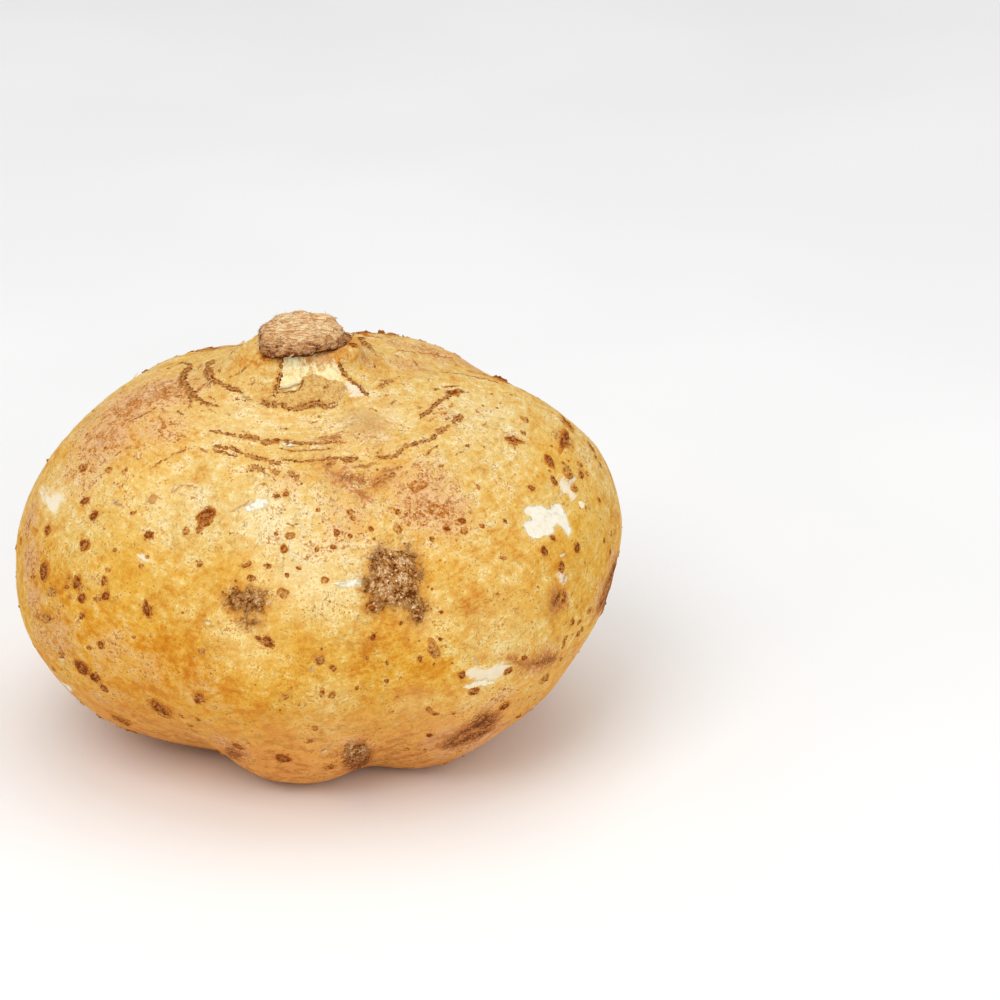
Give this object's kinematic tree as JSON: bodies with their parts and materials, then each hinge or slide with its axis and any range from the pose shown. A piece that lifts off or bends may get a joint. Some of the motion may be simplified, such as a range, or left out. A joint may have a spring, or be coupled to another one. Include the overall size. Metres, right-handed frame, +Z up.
{
  "type": "jicama root",
  "caption": "Whole jicama root: a flattened, softly lobed globe with a cut stem stub on a ringed crown, resting on its underside.",
  "frame": {"origin": "on the surface the root rests on, under the middle of its bounding box", "axes": "+Z up along the stem, +X along the root's widest way across, -Y towards the lobe that stands out in front"},
  "size_m": [0.13, 0.1096, 0.0933],
  "materials": {
    "skin": "thin dry skin, satin, golden tan with brown corky marks"
  },
  "bodies": {
    "root": {"jicama_root": "skin"}
  },
  "joints": []
}
